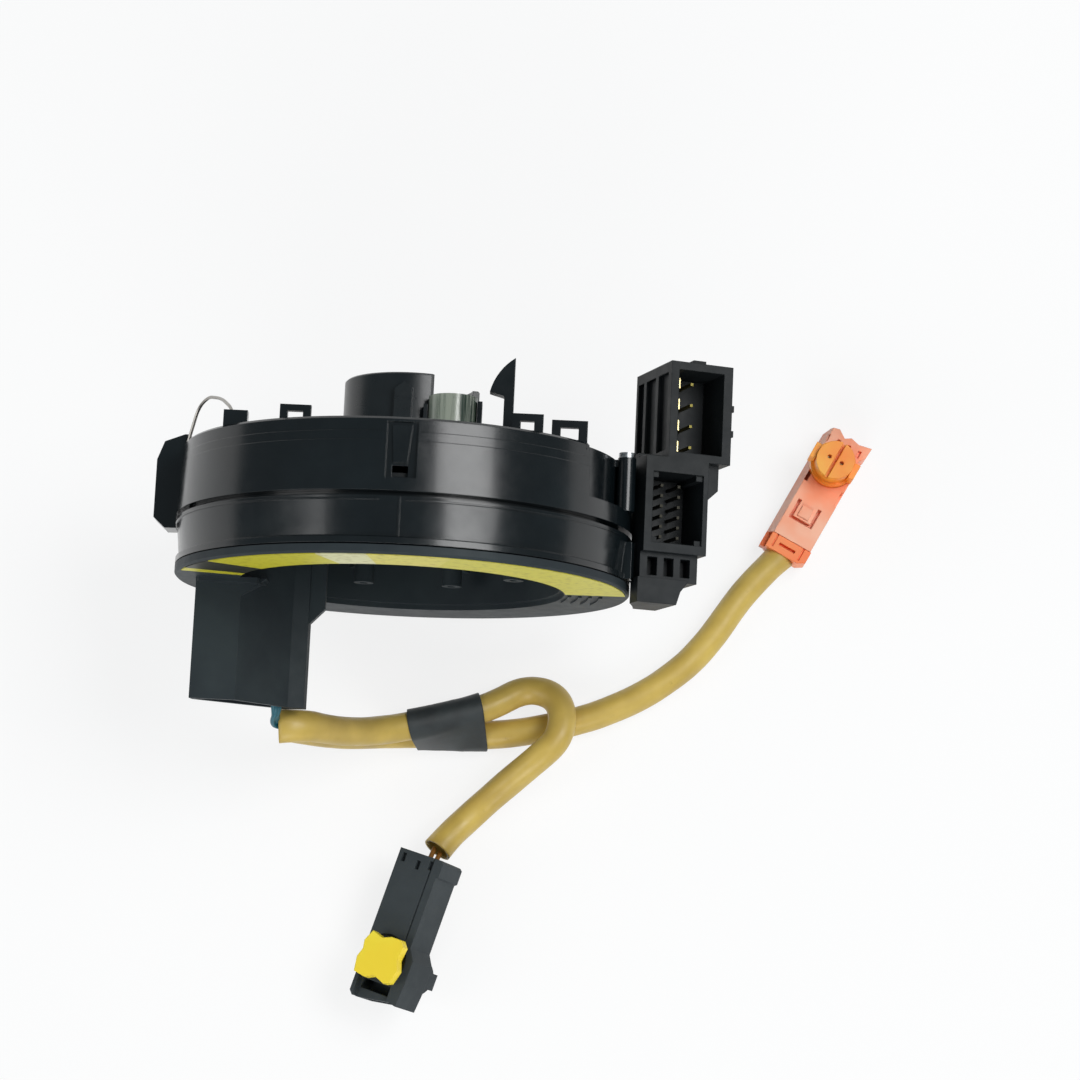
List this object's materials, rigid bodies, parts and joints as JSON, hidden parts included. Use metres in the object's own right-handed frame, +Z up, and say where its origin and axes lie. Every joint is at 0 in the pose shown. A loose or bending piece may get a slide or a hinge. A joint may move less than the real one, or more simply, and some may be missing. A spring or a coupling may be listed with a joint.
{
  "type": "steering clock spring",
  "caption": "Steering clock spring: wheel-side rotor with harness tower and two squib leads, turning in a ring case with angle sensor gears, connector block and rim lugs.",
  "frame": {"origin": "centre of the wheel-side flange face, on the steering axis", "axes": "+Y along the steering axis from the wheel towards the column; +Z up from the surface the unit stands on; +X to the right, where the connector block is"},
  "size_m": [0.1862, 0.1653, 0.1193],
  "materials": {
    "black_moulding": "glossy",
    "pale_nylon": "satin",
    "clear_plastic": "clear",
    "label_film": "printed film with fields of yellow, pale yellow and grey",
    "tinned_pins": "tinned",
    "ribbon_film": "satin film",
    "lead_insulation": "satin",
    "sheath_vinyl": "satin",
    "cloth_tape": "woven",
    "orange_plastic": "satin",
    "amber_plastic": "satin",
    "dark_plug_plastic": "satin",
    "yellow_plastic": "satin",
    "zinc_screw": "zinc plated",
    "circuit_board": "satin",
    "spring_wire": "bright",
    "brass_blades": "tinned brass",
    "magnet_ferrite": "matt"
  },
  "bodies": {
    "stator": {"lower_case": "black_moulding", "upper_cover": "black_moulding", "cover_screws": "zinc_screw", "gear_plate": "black_moulding", "sensor_board": "circuit_board", "hall_chips": "black_moulding", "cable_guide": "ribbon_film", "cable_clip_outer": "pale_nylon", "wire_bail": "spring_wire", "connector_housing": "black_moulding", "blade_terminals": "brass_blades", "signal_pins": "tinned_pins", "sensor_pins": "tinned_pins"},
    "rotor": {"rotor_housing": "black_moulding", "hub_sleeve": "black_moulding", "ring_gear": "pale_nylon", "clear_sleeve": "clear_plastic", "face_label": "label_film", "tower_pins": "tinned_pins", "cable_clip_inner": "pale_nylon", "flat_cable": "ribbon_film", "tower_leads": "lead_insulation", "black_sheath": "sheath_vinyl", "orange_sheath": "sheath_vinyl", "tape_sleeve": "cloth_tape", "orange_body": "orange_plastic", "orange_cap": "orange_plastic", "orange_head": "amber_plastic", "orange_contacts": "tinned_pins", "black_body": "dark_plug_plastic", "black_head": "dark_plug_plastic", "black_contacts": "tinned_pins", "black_leads": "lead_insulation"},
    "gear_a": {"sensor_gear_a": "pale_nylon", "gear_magnet_a": "magnet_ferrite"},
    "gear_b": {"sensor_gear_b": "pale_nylon", "gear_magnet_b": "magnet_ferrite"},
    "lock_tab": {"yellow_lock": "yellow_plastic"},
    "lock_slide": {"orange_lock": "orange_plastic"}
  },
  "joints": [
    {"name": "rotor_turn", "type": "hinge", "parent": "stator", "child": "rotor", "pos_m": [0, 0, 0], "axis": [0, 1, 0], "range_deg": [-900, 900]},
    {"name": "gear_a_spin", "type": "hinge", "parent": "stator", "child": "gear_a", "pos_m": [-0.01762, 0.022, 0.03053], "axis": [0, 1, 0], "range_deg": [-1950, 1950]},
    {"name": "gear_b_spin", "type": "hinge", "parent": "stator", "child": "gear_b", "pos_m": [0.01723, 0.022, 0.02984], "axis": [0, 1, 0], "range_deg": [-2100, 2100]},
    {"name": "yellow_lock_push", "type": "slide", "parent": "rotor", "child": "lock_tab", "axis": [0.434, -0.133, -0.891], "range_m": [0, 0.0019]},
    {"name": "orange_lock_push", "type": "slide", "parent": "rotor", "child": "lock_slide", "axis": [0.4633, 0.8862, 0], "range_m": [0, 0.002]}
  ],
  "couplings": [
    {"joint": "gear_a_spin", "follows": "rotor_turn", "ratio": -2.1429},
    {"joint": "gear_b_spin", "follows": "rotor_turn", "ratio": -2.3077}
  ]
}
